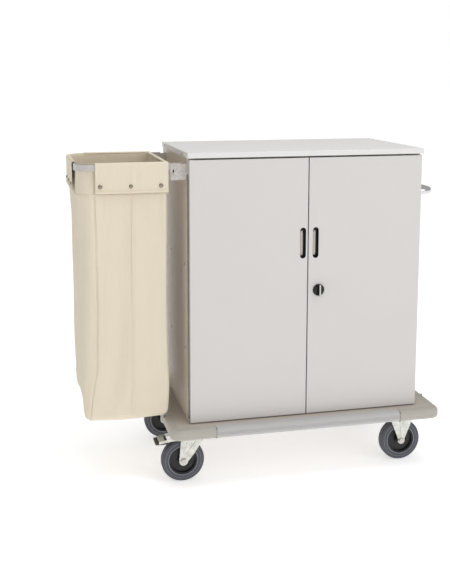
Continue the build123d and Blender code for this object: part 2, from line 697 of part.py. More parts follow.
def casters():
    for place, y in (("front", -CASTER_Y), ("rear", CASTER_Y)):
        axle_x = SWIVEL_X - TRAIL
        save(f"swivel_fork_{place}", swivel_fork(y))
        save(f"swivel_axle_{place}", axle(axle_x, y))
        save(f"brake_lever_{place}", brake_lever(y))
        save(f"brake_pad_{place}", brake_pad(y))
        for end, x in (("left", axle_x), ("right", RIGID_X)):
            save(f"tyre_{place}_{end}", tyre(x, y))
            save(f"wheel_hub_{place}_{end}", wheel_hub(x, y))
    rows = (-CASTER_Y, CASTER_Y)
    save("swivel_plates", group(swivel_plate(y) for y in rows))
    save("kingpins", group(kingpin(y) for y in rows))
    save("rigid_forks", group(rigid_fork(y) for y in rows))
    save("rigid_axles", group(axle(RIGID_X, y) for y in rows))
    save("caster_bolts", caster_bolts())


base()
cabinet()
hinges()
doors()
bag()
save("push_handle", push_handle())
casters()
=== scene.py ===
import math

import bpy
import numpy as np
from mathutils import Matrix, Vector


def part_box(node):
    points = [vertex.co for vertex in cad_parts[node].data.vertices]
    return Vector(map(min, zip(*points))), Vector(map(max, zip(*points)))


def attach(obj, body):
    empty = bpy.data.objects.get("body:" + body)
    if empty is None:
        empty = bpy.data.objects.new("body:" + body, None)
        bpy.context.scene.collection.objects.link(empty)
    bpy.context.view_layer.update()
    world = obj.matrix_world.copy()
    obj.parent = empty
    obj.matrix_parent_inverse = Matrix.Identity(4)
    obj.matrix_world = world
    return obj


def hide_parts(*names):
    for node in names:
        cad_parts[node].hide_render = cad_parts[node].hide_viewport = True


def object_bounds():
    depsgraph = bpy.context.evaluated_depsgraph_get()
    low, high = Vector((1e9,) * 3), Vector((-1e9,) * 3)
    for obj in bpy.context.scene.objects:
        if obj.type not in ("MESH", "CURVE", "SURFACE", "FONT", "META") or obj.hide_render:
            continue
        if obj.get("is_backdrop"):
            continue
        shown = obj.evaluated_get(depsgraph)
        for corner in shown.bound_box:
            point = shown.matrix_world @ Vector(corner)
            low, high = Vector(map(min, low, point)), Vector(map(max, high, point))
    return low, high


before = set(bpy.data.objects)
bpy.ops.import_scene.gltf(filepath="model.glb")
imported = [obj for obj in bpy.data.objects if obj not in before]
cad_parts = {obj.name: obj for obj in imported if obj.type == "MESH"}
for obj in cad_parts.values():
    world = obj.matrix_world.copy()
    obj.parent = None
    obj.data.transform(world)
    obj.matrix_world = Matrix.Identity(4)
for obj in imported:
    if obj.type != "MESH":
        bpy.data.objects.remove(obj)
cad_low, cad_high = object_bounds()


# ---- Studio ----
# A pale floor, glowing a little, in a white room that is brighter to the front right. Large
# soft boxes at the front right and overhead, and a weak one by the bag end. The camera
# stands off the bag end, a little above the worktop.

scene = bpy.context.scene
scene.view_settings.view_transform = "Standard"

camera_data = bpy.data.cameras.new("camera")
camera_data.sensor_width = 36
camera_data.lens = 57.51
camera_data.shift_x = 0.008
camera_data.shift_y = -0.15
camera = bpy.data.objects.new("camera", camera_data)
camera.location = (-0.853, -3.199, 1.415)
camera.rotation_euler = (math.radians(90 - 8.15), 0, math.radians(-13.14))
scene.collection.objects.link(camera)
scene.camera = camera


def soft_box(name, place, target, size, watts):
    data = bpy.data.lights.new(name, "AREA")
    data.shape = "DISK"
    data.size = size
    data.energy = watts
    lamp = bpy.data.objects.new(name, data)
    lamp.location = place
    lamp.rotation_euler = (Vector(target) - Vector(place)).to_track_quat("-Z", "Y").to_euler()
    scene.collection.objects.link(lamp)


middle = (cad_low + cad_high) / 2
soft_box("key_light", (2.6, -3.4, 3.0), middle, 2.2, 29)
soft_box("top_light", (0.2, -0.6, 4.2), middle, 3.0, 58)
soft_box("bag_light", (-1.9, -3.6, 1.9), (-0.5, 0, 0.7), 1.6, 5)

DARK_SIDE, BRIGHT_SIDE = 0.36, 0.52
BRIGHTEST = (0.62, -0.45, 0.64)        # the direction that the room is brightest in
world = bpy.data.worlds.new("white_room")
world.use_nodes = True
scene.world = world
room = world.node_tree
seen = room.nodes.new("ShaderNodeBackground")
seen.inputs["Color"].default_value = (1, 1, 1, 1)
lit = room.nodes["Background"]
lit.inputs["Color"].default_value = (1.0, 0.995, 0.985, 1)
towards = room.nodes.new("ShaderNodeVectorMath")
towards.operation = "DOT_PRODUCT"
towards.inputs[1].default_value = BRIGHTEST
fade = room.nodes.new("ShaderNodeMapRange")
fade.inputs["From Min"].default_value = -1
fade.inputs["To Min"].default_value = DARK_SIDE
fade.inputs["To Max"].default_value = BRIGHT_SIDE
facing = room.nodes.new("ShaderNodeTexCoord")
room.links.new(facing.outputs["Generated"], towards.inputs[0])
room.links.new(towards.outputs["Value"], fade.inputs["Value"])
room.links.new(fade.outputs["Result"], lit.inputs["Strength"])
either = room.nodes.new("ShaderNodeMixShader")
path = room.nodes.new("ShaderNodeLightPath")
room.links.new(path.outputs["Is Camera Ray"], either.inputs["Fac"])
room.links.new(lit.outputs["Background"], either.inputs[1])
room.links.new(seen.outputs["Background"], either.inputs[2])
room.links.new(either.outputs["Shader"], room.nodes["World Output"].inputs["Surface"])


def colour(red, green, blue):
    """A colour given as 0-255 screen values, as linear light."""
    parts = [c / 255 for c in (red, green, blue)]
    return [c / 12.92 if c < 0.04 else ((c + 0.055) / 1.055) ** 2.4 for c in parts] + [1.0]


class Finish:
    """A material being made up: one shader, fed by patterns laid out in metres."""

    def __init__(self, name, base, roughness, metal=0.0, coordinates="Object"):
        self.material = bpy.data.materials.new(name)
        self.material.use_nodes = True
        self.nodes = self.material.node_tree.nodes
        self.links = self.material.node_tree.links
        self.shader = self.nodes["Principled BSDF"]
        self.base = base
        self.shader.inputs["Base Color"].default_value = base
        self.shader.inputs["Roughness"].default_value = roughness
        self.shader.inputs["Metallic"].default_value = metal
        self.place = self.nodes.new("ShaderNodeTexCoord").outputs[coordinates]
        self.bump = None

    def speckle(self, size, detail=2.0, stretch=(1, 1, 1)):
        """Cloudy noise with lumps about size metres across, drawn out along stretch."""
        scale = self.nodes.new("ShaderNodeMapping")
        scale.inputs["Scale"].default_value = [1 / (size * s) for s in stretch]
        self.links.new(self.place, scale.inputs["Vector"])
        noise = self.nodes.new("ShaderNodeTexNoise")
        noise.inputs["Scale"].default_value = 1.0
        noise.inputs["Detail"].default_value = detail
        self.links.new(scale.outputs["Vector"], noise.inputs["Vector"])
        return noise.outputs["Fac"]

    def spangle(self, size):
        """Flat crystals about size metres across, as on hot-dip zinc."""
        cells = self.nodes.new("ShaderNodeTexVoronoi")
        cells.inputs["Scale"].default_value = 1 / size
        self.links.new(self.place, cells.inputs["Vector"])
        grey = self.nodes.new("ShaderNodeRGBToBW")
        self.links.new(cells.outputs["Color"], grey.inputs["Color"])
        return grey.outputs["Val"]

    def threads(self, pitch, direction):
        """Parallel ridges a pitch apart, across the first or the second coordinate."""
        wave = self.nodes.new("ShaderNodeTexWave")
        wave.bands_direction = direction
        wave.inputs["Scale"].default_value = 2 * math.pi / (20 * pitch)
        wave.inputs["Distortion"].default_value = 0.6
        self.links.new(self.place, wave.inputs["Vector"])
        return wave.outputs["Fac"]

    def times(self, first, second):
        product = self.nodes.new("ShaderNodeMath")
        product.operation = "MULTIPLY"
        self.links.new(first, product.inputs[0])
        self.links.new(second, product.inputs[1])
        return product.outputs["Value"]

    def between(self, pattern, low, high):
        ramp = self.nodes.new("ShaderNodeMapRange")
        ramp.inputs["From Min"].default_value = 0.25
        ramp.inputs["From Max"].default_value = 0.75
        ramp.inputs["To Min"].default_value = low
        ramp.inputs["To Max"].default_value = high
        self.links.new(pattern, ramp.inputs["Value"])
        return ramp.outputs["Result"]

    def shade(self, pattern, darker):
        """The base colour, darkened towards darker where the pattern is low."""
        mix = self.nodes.new("ShaderNodeMix")
        mix.data_type = "RGBA"
        mix.inputs["A"].default_value = darker
        old = self.shader.inputs["Base Color"]
        if old.is_linked:
            self.links.new(old.links[0].from_socket, mix.inputs["B"])
        else:
            mix.inputs["B"].default_value = self.base
        self.links.new(self.between(pattern, 0, 1), mix.inputs["Factor"])
        self.links.new(mix.outputs["Result"], old)
        return self

    def gloss(self, pattern, low, high):
        self.links.new(self.between(pattern, low, high), self.shader.inputs["Roughness"])
        return self

    def relief(self, pattern, height):
        bump = self.nodes.new("ShaderNodeBump")
        bump.inputs["Distance"].default_value = height
        bump.inputs["Strength"].default_value = 1.0
        self.links.new(pattern, bump.inputs["Height"])
        if self.bump:
            self.links.new(self.bump, bump.inputs["Normal"])
        self.bump = bump.outputs["Normal"]
        self.links.new(self.bump, self.shader.inputs["Normal"])
        return self


def tinted(base, factor):
    return [c * factor for c in base[:3]] + [1.0]


def coat(material, *nodes):
    for node in nodes:
        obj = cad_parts[node]
        obj.data.materials.clear()
        obj.data.materials.append(material)


def made(name, points, faces, material, body, slot, smooth=True):
    """A mesh piece in the cart's frame that rides on a body."""
    mesh = bpy.data.meshes.new(name)
    mesh.from_pydata([tuple(p) for p in points], [], faces)
    mesh.polygons.foreach_set("use_smooth", [smooth] * len(mesh.polygons))
    mesh.materials.append(material)
    mesh.update()
    obj = bpy.data.objects.new(name, mesh)
    scene.collection.objects.link(obj)
    if body:
        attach(obj, body)
    return obj


FLOOR_HALF = 60.0
FLOOR_GLOW = (0.50, 0.62)              # the floor glows a little, more so away from the cart
GLOW_REACH = (1.0, 4.0)                # between these distances from the middle of the floor
floor_finish = Finish("floor_vinyl", colour(243, 243, 245), 0.7)
floor_finish.shade(floor_finish.speckle(0.6, 3), colour(240, 240, 242))
floor_finish.relief(floor_finish.speckle(0.004), 0.00005)
floor_finish.shader.inputs["Emission Color"].default_value = (1, 1, 1, 1)
distance = floor_finish.nodes.new("ShaderNodeVectorMath")
distance.operation = "LENGTH"
glow = floor_finish.nodes.new("ShaderNodeMapRange")
glow.inputs["From Min"].default_value = GLOW_REACH[0]
glow.inputs["From Max"].default_value = GLOW_REACH[1]
glow.inputs["To Min"].default_value = FLOOR_GLOW[0]
glow.inputs["To Max"].default_value = FLOOR_GLOW[1]
floor_finish.links.new(floor_finish.place, distance.inputs[0])
floor_finish.links.new(distance.outputs["Value"], glow.inputs["Value"])
floor_finish.links.new(glow.outputs["Result"], floor_finish.shader.inputs["Emission Strength"])
floor = made("floor", [(-FLOOR_HALF, -FLOOR_HALF, 0), (FLOOR_HALF, -FLOOR_HALF, 0),
                       (FLOOR_HALF, FLOOR_HALF, 0), (-FLOOR_HALF, FLOOR_HALF, 0)],
             [(0, 1, 2, 3)], floor_finish.material, None, None)
floor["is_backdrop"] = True


# ---- Cabinet ----
# Folded sheet steel, powder coated light grey. The worktop's coat is made lighter than the doors',
# a painted highlight for the light from above; the sides, shelves and back are warmer, in part a
# beige coat and in part painted warm bounce from the canvas bag and shade. The coat has a fine
# orange peel and an even satin gloss.

def powder_coat(name, base, roughness=0.42):
    finish = Finish(name, base, roughness)
    finish.shade(finish.speckle(0.22, 3), tinted(base, 0.965))
    finish.shade(finish.speckle(0.0015, 1), tinted(base, 0.985))
    finish.gloss(finish.speckle(0.03, 3), roughness - 0.05, roughness + 0.06)
    finish.relief(finish.speckle(0.0022, 1.5), 0.00006)
    finish.relief(finish.speckle(0.18, 1), 0.0008)
    return finish.material


DOOR_GREY = colour(214, 211, 209)
door_paint = powder_coat("door_paint", DOOR_GREY)
# Lighter than the doors: painted highlight for the light from above.
top_paint = powder_coat("top_paint", colour(228, 227, 225), 0.46)
# Warmer than the doors: in part a beige coat, in part painted warm bounce and shade.
body_paint = powder_coat("body_paint", colour(216, 205, 189))
coat(door_paint, "door_left_skin", "door_left_liner", "door_right_skin", "door_right_liner")
coat(top_paint, "top_panel")
coat(body_paint, "side_panel_left", "side_panel_right", "back_panel", "cabinet_floor",
     "header_rail", "shelf_upper", "shelf_lower")


# ---- Screws ----
# Zinc-plated pan-head screws with a cross recess hold the shelves, the worktop, the bag
# brackets and the handle. One domed head for each screw of the cabinet; the recess is a dark
# cross laid on the head, painted shade.

def solids(node):
    """The boxes of a CAD node's separate solids, as (lowest, highest) corners."""
    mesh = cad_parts[node].data
    points = np.array([v.co for v in mesh.vertices])
    _, index = np.unique(np.round(points, 6), axis=0, return_inverse=True)
    index = index.ravel()
    owner = list(range(index.max() + 1))

    def root(i):
        while owner[i] != i:
            owner[i] = owner[owner[i]]
            i = owner[i]
        return i

    for edge in mesh.edges:
        a, b = (root(index[v]) for v in edge.vertices)
        owner[a] = b
    roots = np.array([root(i) for i in index])
    boxes = [(points[roots == r].min(0), points[roots == r].max(0)) for r in set(roots)]
    return sorted(((Vector(low), Vector(high)) for low, high in boxes), key=lambda b: tuple(b[0]))


def turned(profile, centre, axis, segments=24, closed=False):
    """Points and faces of a turned shape; profile is (radius, height along the axis)."""
    turn = Vector((0, 0, 1)).rotation_difference(Vector(axis))
    points = []
    for radius, height in profile:
        for i in range(segments):
            angle = 2 * math.pi * i / segments
            spot = Vector((radius * math.cos(angle), radius * math.sin(angle), height))
            points.append(Vector(centre) + turn @ spot)
    rows = len(profile)
    faces = []
    for r in range(rows if closed else rows - 1):
        for i in range(segments):
            j, below, above = (i + 1) % segments, r * segments, (r + 1) % rows * segments
            faces.append((below + i, below + j, above + j, above + i))
    if not closed:
        faces.append(tuple(range(segments))[::-1])
        faces.append(tuple(range((rows - 1) * segments, rows * segments)))
    return points, faces


def block(centre, size):
    points = [Vector(centre) + Vector((sx * size[0], sy * size[1], sz * size[2])) / 2
              for sx in (-1, 1) for sy in (-1, 1) for sz in (-1, 1)]
    return points, [(0, 1, 3, 2), (4, 6, 7, 5), (0, 4, 5, 1), (2, 3, 7, 6), (0, 2, 6, 4), (1, 5, 7, 3)]


def joined(shapes):
    points, faces = [], []
    for more_points, more_faces in shapes:
        start = len(points)
        points += list(more_points)
        faces += [tuple(start + i for i in face) for face in more_faces]
    return points, faces


zinc_screw = Finish("screw_zinc", colour(196, 194, 188), 0.32, 0.9)
zinc_screw.gloss(zinc_screw.speckle(0.0008), 0.25, 0.4)
zinc_screw.relief(zinc_screw.speckle(0.0005), 0.00002)
# The recess is a dark cross laid on each head: painted shade, not a hollow.
recess_painted_shade = Finish("screw_recess", colour(40, 38, 36), 0.6, 0.5)
recess_painted_shade.relief(recess_painted_shade.speckle(0.0004), 0.00002)

PAN_HEAD = [(0.0045, 0), (0.0045, 0.0010), (0.0040, 0.0018), (0.0028, 0.0023), (0.0012, 0.0025)]
heads, crosses = [], []
cabinet_x = sum(corner.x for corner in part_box("top_panel")) / 2
for low, high in solids("panel_screws"):
    side = 1 if (low.x + high.x) / 2 > cabinet_x else -1
    outer = high.x if side > 0 else low.x
    seat = Vector((outer - side * 0.0024, (low.y + high.y) / 2, (low.z + high.z) / 2))
    heads.append(turned(PAN_HEAD, seat, (side, 0, 0), 20))
    face = seat + Vector((side * 0.0021, 0, 0))
    crosses.append(block(face, (0.001, 0.0044, 0.0009)))
    crosses.append(block(face, (0.00104, 0.0009, 0.0044)))
screws = made("screw_heads", *joined(heads), zinc_screw.material, "cabinet", "fastener_zinc")
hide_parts("panel_screws")
made("screw_cross_shade", *joined(crosses), recess_painted_shade.material, "cabinet", "fastener_zinc", False)
coat(zinc_screw.material, "caster_bolts", "kingpins", "swivel_axle_front", "swivel_axle_rear",
     "rigid_axles")


# ---- Hinges and bolt ----
# Continuous hinges of plain steel down the outer edge of each door, and a zinc-plated
# slide bolt inside the left door.

hinge_steel = Finish("hinge_steel", colour(150, 145, 138), 0.38, 0.85)
hinge_steel.shade(hinge_steel.speckle(0.004), colour(120, 114, 106))
hinge_steel.relief(hinge_steel.speckle(0.0006, stretch=(1, 1, 12)), 0.00002)
coat(hinge_steel.material, "hinge_frame_leaves", "hinge_door_leaf_left", "hinge_door_leaf_right",
     "hinge_pins")


# ---- Pull cups ----
# Black moulded cups let into the doors. A pressed steel ramp fills the left half of each cup
# and leaves the fingers the right half. Its paint is the door's grey made darker and warmer,
# painted shade for the hollow.

pull_black = Finish("pull_black", colour(20, 19, 18), 0.5)
pull_black.relief(pull_black.speckle(0.0006), 0.00004)
pull_black.gloss(pull_black.speckle(0.003), 0.42, 0.58)
coat(pull_black.material, "door_left_pull", "door_right_pull")

RAMP_END = 0.0105                      # the ramp stops this far short of the cup's ends
RAMP_STEPS = 12
# The door's grey made darker and warmer: painted shade inside the cup.
ramp_paint_painted_shade = powder_coat("ramp_paint_painted_shade", colour(196, 187, 178))
for side in ("left", "right"):
    low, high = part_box(f"door_{side}_pull")
    width = high.x - low.x
    ramp = [(0.0011, 0.0003), (0.0018, 0.0004), (0.0045, 0.0022), (0.48 * width, 0.0050),
            (0.52 * width, 0.0056), (0.54 * width, 0.0068), (0.55 * width, 0.0125)]
    points, faces = [], []
    for i in range(RAMP_STEPS + 1):
        share = i / RAMP_STEPS
        z = low.z + RAMP_END + (high.z - low.z - 2 * RAMP_END) * share
        tuck = 0.0025 * (max(0, 1 - i) + max(0, i - RAMP_STEPS + 1))
        points += [(low.x + x, low.y + y + tuck * 0.8, z) for x, y in ramp]
    for i in range(RAMP_STEPS):
        for j in range(len(ramp) - 1):
            a = i * len(ramp) + j
            faces.append((a, a + 1, a + 1 + len(ramp), a + len(ramp)))
    piece = made(f"pull_ramp_{side}", points, faces, ramp_paint_painted_shade, f"door_{side}", "door_paint")
    solid = piece.modifiers.new("sheet", "SOLIDIFY")
    solid.thickness = 0.0008
    solid.offset = -1


# ---- Lock ----
# A dark die-cast thumb-turn lock: round escutcheon, plug with a fin across its face. The
# fin's front edge is light, a painted highlight; the rest of the plug is dark.

lock_dark = Finish("lock_dark", colour(58, 54, 51), 0.34, 0.55)
lock_dark.shade(lock_dark.speckle(0.006, 3), colour(38, 35, 33))
lock_dark.relief(lock_dark.speckle(0.0005), 0.00003)
coat(lock_dark.material, "lock_body")

lock_fin = Finish("lock_fin", colour(200, 198, 194), 0.3, 0.6)
split = lock_fin.nodes.new("ShaderNodeSeparateXYZ")
lock_fin.links.new(lock_fin.place, split.inputs["Vector"])
fin_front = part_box("lock_plug")[0].y
# Light only along the fin's front edge: a painted highlight; behind it the plug is dark.
fin_painted_highlight = lock_fin.nodes.new("ShaderNodeMapRange")
fin_painted_highlight.inputs["From Min"].default_value = fin_front + 0.0016
fin_painted_highlight.inputs["From Max"].default_value = fin_front + 0.0006
lock_fin.links.new(split.outputs["Y"], fin_painted_highlight.inputs["Value"])
lock_fin.shade(fin_painted_highlight.outputs["Result"], colour(52, 49, 46))
lock_fin.relief(lock_fin.speckle(0.0005), 0.00002)
coat(lock_fin.material, "lock_plug")


# ---- Base and bumper ----
# A folded deck pan on two channels. An extruded vinyl strip with three fine grooves runs
# along each side, and moulded vinyl corners close the loop.

deck_paint = powder_coat("deck_paint", colour(188, 180, 170), 0.5)
coat(deck_paint, "base_pan", "base_channels")


def vinyl(name, base):
    finish = Finish(name, base, 0.5)
    finish.shade(finish.speckle(0.08, 4), tinted(base, 0.94))
    finish.shade(finish.speckle(0.002, 2), tinted(base, 0.97))
    finish.gloss(finish.speckle(0.02, 3), 0.42, 0.6)
    finish.relief(finish.speckle(0.0011, 2), 0.00008)
    return finish.material


strip_vinyl = vinyl("strip_vinyl", colour(188, 187, 186))
corner_vinyl = vinyl("corner_vinyl", colour(180, 176, 167))
coat(corner_vinyl, "bumper_corners")

ROUND = 0.013
GROOVES = (0.30, 0.5, 0.70)
GROOVE_DEEP = 0.0009
STRIP_GAP = 0.0008                     # left at each end, where it butts on a corner


def strip_section(out, height):
    """The strip's outline, from its lower back edge round the outside: (outwards, up)."""
    outline = [(0, 0), (out - ROUND, 0)]
    for i in range(1, 7):
        angle = math.radians(90 * i / 6)
        outline.append((out - ROUND + ROUND * math.sin(angle), ROUND - ROUND * math.cos(angle)))
    for share in GROOVES:
        z = ROUND + (height - 2 * ROUND) * (share - 0.2) / 0.6
        for dz, deep in ((-0.0013, 0), (-0.0006, GROOVE_DEEP), (0.0006, GROOVE_DEEP), (0.0013, 0)):
            outline.append((out - deep, z + dz))
    for i in range(0, 7):
        angle = math.radians(90 * i / 6)
        outline.append((out - ROUND + ROUND * math.cos(angle),
                        height - ROUND + ROUND * math.sin(angle)))
    return outline + [(0, height)]


def strip(low, high, along):
    """One length of strip in its box, its flat back towards the cart's middle."""
    across = 1 - along
    side = 1 if low[across] + high[across] > 0 else -1
    back = low[across] if side > 0 else high[across]
    outline = strip_section(high[across] - low[across], high.z - low.z)
    points = []
    for end in (low[along] + STRIP_GAP, high[along] - STRIP_GAP):
        for out, up in outline:
            spot = [0, 0, low.z + up]
            spot[along] = end
            spot[across] = back + side * out
            points.append(spot)
    n = len(outline)
    faces = [(i, i + 1, n + i + 1, n + i) for i in range(n - 1)] + [(n - 1, 0, n, 2 * n - 1)]
    return points, faces + [tuple(range(n))[::-1], tuple(range(n, 2 * n))]


def ribbed_rails(name, node, along):
    piece = made(name, *joined(strip(low, high, along) for low, high in solids(node)),
                 strip_vinyl, "cabinet", "bumper_strip", smooth=False)
    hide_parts(node)


def dark_joints(node, along):
    """Dark blocks in the thin gaps at the strips' ends: painted shade in the gaps."""
    slices = []
    for low, high in solids(node):
        size = (high - low) * 0.985
        for end in (low[along] + STRIP_GAP / 2, high[along] - STRIP_GAP / 2):
            spot = (low + high) / 2
            spot[along] = end
            size[along] = STRIP_GAP
            slices.append(block(spot, size))
    return slices


# The dark fill in the joints is painted shade in the gaps.
joint_painted_shade = vinyl("joint_painted_shade", colour(58, 56, 52))
joint_shapes = dark_joints("bumper_rails_long", 0) + dark_joints("bumper_rails_short", 1)
made("bumper_joints", *joined(joint_shapes), joint_painted_shade, "cabinet", "bumper_corner", smooth=False)

ribbed_rails("bumper_strips_long", "bumper_rails_long", 0)
ribbed_rails("bumper_strips_short", "bumper_rails_short", 1)


# ---- Bag hoop and brackets ----
# A hoop of flat steel bar, bright zinc with a drawn grain, drops into two angle brackets
# of hot-dip galvanised steel screwed to the left side panel.

hoop_steel = Finish("hoop_steel", colour(206, 203, 199), 0.36, 0.5)
hoop_steel.shade(hoop_steel.speckle(0.01, 3), colour(186, 183, 179))
hoop_steel.relief(hoop_steel.speckle(0.0005, stretch=(30, 30, 1)), 0.00003)
coat(hoop_steel.material, "bag_hoop")

galvanised = Finish("galvanised", colour(205, 199, 193), 0.4, 0.6)
galvanised.shade(galvanised.spangle(0.005), colour(188, 182, 176))
galvanised.gloss(galvanised.spangle(0.0045), 0.36, 0.5)
galvanised.relief(galvanised.speckle(0.001), 0.00004)
coat(galvanised.material, "bag_bracket_front", "bag_bracket_rear")

# A thin black sheet lies behind each bracket's slot: painted shade in the slot.
SLOT_PLACE = (0.010, 0.00245, 0.027)   # from the plate's free end, its front and its top
SLOT_HALF = 0.0055                     # from the slot's middle to the centre of each round end
SLOT_SHADE_R, SLOT_SHADE_THICK = 0.0040, 0.0002
# Black, as painted shade in the slot.
slot_shade_finish = Finish("slot_painted_shade", colour(24, 22, 20), 0.7)
slot_shade_finish.relief(slot_shade_finish.speckle(0.0006), 0.00004)
for place in ("front", "rear"):
    low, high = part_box(f"bag_bracket_{place}")
    slot_middle = Vector((low.x + SLOT_PLACE[0], low.y + SLOT_PLACE[1], high.z - SLOT_PLACE[2]))
    backing = [(SLOT_SHADE_R, -0.0001), (SLOT_SHADE_R, 0.0001), (SLOT_SHADE_R - 0.0004, SLOT_SHADE_THICK)]
    rounds = [turned(backing, slot_middle + Vector((0, 0, dz)), (0, -1, 0), 20)
              for dz in (-SLOT_HALF, SLOT_HALF)]
    rounds.append(block(slot_middle, (2 * SLOT_SHADE_R, SLOT_SHADE_THICK, 2 * SLOT_HALF)))
    made(f"bag_slot_shade_{place}", *joined(rounds), slot_shade_finish.material, "cabinet", "brake_plastic")


# ---- Canvas bag ----
# One sheet of natural cotton duck sewn into a square-bottomed sack: a neck inside the
# hoop, straight walls, a lapped centre seam front and rear. Its own weight hangs it.

ACROSS, ALONG, TURN = 34, 44, 12          # columns on a short side, a long side and a corner
RING = 2 * (ACROSS + ALONG) + 4 * TURN
THREAD = 0.0009
CLOTH = 0.0012
TIGHT_R = 0.012                           # the corners at the hoop's arms

# Height above the floor, how far the walls and then the end wall lie inside the sack's box,
# and the radius of the corners at the hoop's bends.
SHAPE = np.array([
    (0.2405, 0.026, 0.010, 0.012), (0.2440, 0.014, 0.012, 0.015), (0.2520, 0.006, 0.013, 0.018),
    (0.2700, 0.003, 0.013, 0.022), (0.3300, 0.002, 0.012, 0.032), (0.4200, 0.002, 0.011, 0.050),
    (0.6500, 0.002, 0.009, 0.058), (0.9000, 0.002, 0.006, 0.060), (0.9850, 0.002, 0.003, 0.060),
    (1.0150, 0.003, 0.001, 0.060), (1.0400, 0.006, 0.000, 0.060), (1.0880, 0.0075, 0.000, 0.059),
    (1.1080, 0.0075, 0.000, 0.059), (1.1130, 0.0062, 0.000, 0.060), (1.1148, 0.0048, 0.000, 0.061)])


def canvas(name, base):
    finish = Finish(name, base, 0.9, coordinates="UV")
    finish.shader.inputs["Sheen Weight"].default_value = 0.12
    finish.shader.inputs["Sheen Roughness"].default_value = 0.6
    finish.shader.inputs["Specular IOR Level"].default_value = 0.25
    weave = finish.times(finish.threads(THREAD, "X"), finish.threads(THREAD, "Y"))
    finish.shade(finish.speckle(0.25, 3), tinted(base, 0.93))
    finish.shade(finish.speckle(0.004, 3, stretch=(0.4, 12, 1)), tinted(base, 0.965))
    finish.shade(finish.speckle(0.004, 3, stretch=(12, 0.4, 1)), tinted(base, 0.975))
    finish.relief(weave, 0.00022)
    finish.relief(finish.speckle(0.0012, 2), 0.0002)
    finish.relief(finish.speckle(0.03, 2, stretch=(0.6, 2.6, 1)), 0.0022)
    return finish.material


natural_duck = canvas("natural_duck", colour(236, 225, 203))


def ring(left, right, front, rear, radius):
    """The sack seen from above: large corners at the hoop's bends, tight ones at its arms."""
    tight = min(radius, TIGHT_R)
    radii = (tight, tight, radius, radius)
    centres = np.array([(right - tight, front + tight), (right - tight, rear - tight),
                        (left + radius, rear - radius), (left + radius, front + radius)])
    counts = (ACROSS, ALONG, ACROSS, ALONG)
    points = []
    for k in range(4):
        turn = math.radians(90 * k - 90)
        out = np.array([math.cos(turn), math.sin(turn)])
        start, end = centres[k - 1] + radii[k - 1] * out, centres[k] + radii[k] * out
        points += [start + (end - start) * i / counts[k] for i in range(counts[k])]
        for i in range(TURN):
            angle = turn + math.radians(90) * i / TURN
            points.append(centres[k] + radii[k] * np.array([math.cos(angle), math.sin(angle)]))
    return np.array(points)


def folds(run, height, span):
    """How far the cloth stands off its flat shape: soft upright folds and a slant crease."""
    free = np.clip((1.03 - height) / 0.16, 0, 1) * np.clip((height - 0.25) / 0.12, 0, 1)
    turn = 2 * math.pi * run / span
    wave = 0.0030 * np.sin(9 * turn + 2.2 * math.sin(3.1 * height) + 0.6)
    wave += 0.0016 * np.sin(17 * turn - 4.0 * height + 1.1)
    wave += 0.0028 * np.sin(5 * turn + 9.0 * height)
    return free * wave


low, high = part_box("canvas_bag")
levels = np.concatenate([np.array([0.2405, 0.2422, 0.2445, 0.2480, 0.2530, 0.2600]),
                         np.linspace(0.270, 1.000, 64), np.linspace(1.010, 1.108, 12),
                         np.array([1.1108, 1.1130, 1.1142, 1.1148])])
rings = []
for z in levels:
    wall, end, radius = (np.interp(z, SHAPE[:, 0], SHAPE[:, k]) for k in (1, 2, 3))
    flat_ring = ring(low.x + wall + end, high.x - wall, low.y + wall, high.y - wall, radius)
    step = np.roll(flat_ring, -1, 0) - np.roll(flat_ring, 1, 0)
    normal = np.stack([step[:, 1], -step[:, 0]], 1) / np.linalg.norm(step, axis=1)[:, None]
    run = np.concatenate([[0], np.cumsum(np.linalg.norm(np.diff(flat_ring, axis=0), axis=1))])
    span = run[-1] + np.linalg.norm(flat_ring[0] - flat_ring[-1])
    moved = flat_ring + normal * folds(run, z, span)[:, None]
    rings.append((moved, z, run, span))

points, across_cloth = [], []
FLOOR_RINGS = (0.04, 0.2, 0.4, 0.6, 0.8, 0.93)
centre = rings[0][0].mean(0)
for share in FLOOR_RINGS:
    sag = 0.004 * (1 - share ** 2)
    points += [(*(centre + (p - centre) * share), levels[0] - sag) for p in rings[0][0]]
    across_cloth += [(u, 0.2 * (share - 1)) for u in rings[0][2]]
for moved, z, run, span in rings:
    points += [(x, y, z) for x, y in moved]
    across_cloth += [(u, z) for u in run]
rows = len(FLOOR_RINGS) + len(levels)
faces = [tuple(range(RING))[::-1]]
for r in range(rows - 1):
    for i in range(RING):
        j = (i + 1) % RING
        faces.append((r * RING + i, r * RING + j, (r + 1) * RING + j, (r + 1) * RING + i))
bag = made("canvas_sack", points, faces, natural_duck, "cabinet", "canvas")


def lay_weave(obj, places, span=None):
    """Writes where each corner lies on the flat cloth, in metres, for the weave."""
    layer = obj.data.uv_layers.new(name="cloth")
    for face in obj.data.polygons:
        spots = [list(places[obj.data.loops[i].vertex_index]) for i in face.loop_indices]
        if span and max(s[0] for s in spots) - min(s[0] for s in spots) > span / 2:
            for s in spots:
                s[0] += span if s[0] < span / 2 else 0
        for i, s in zip(face.loop_indices, spots):
            layer.data[i].uv = s


lay_weave(bag, across_cloth, rings[0][3])

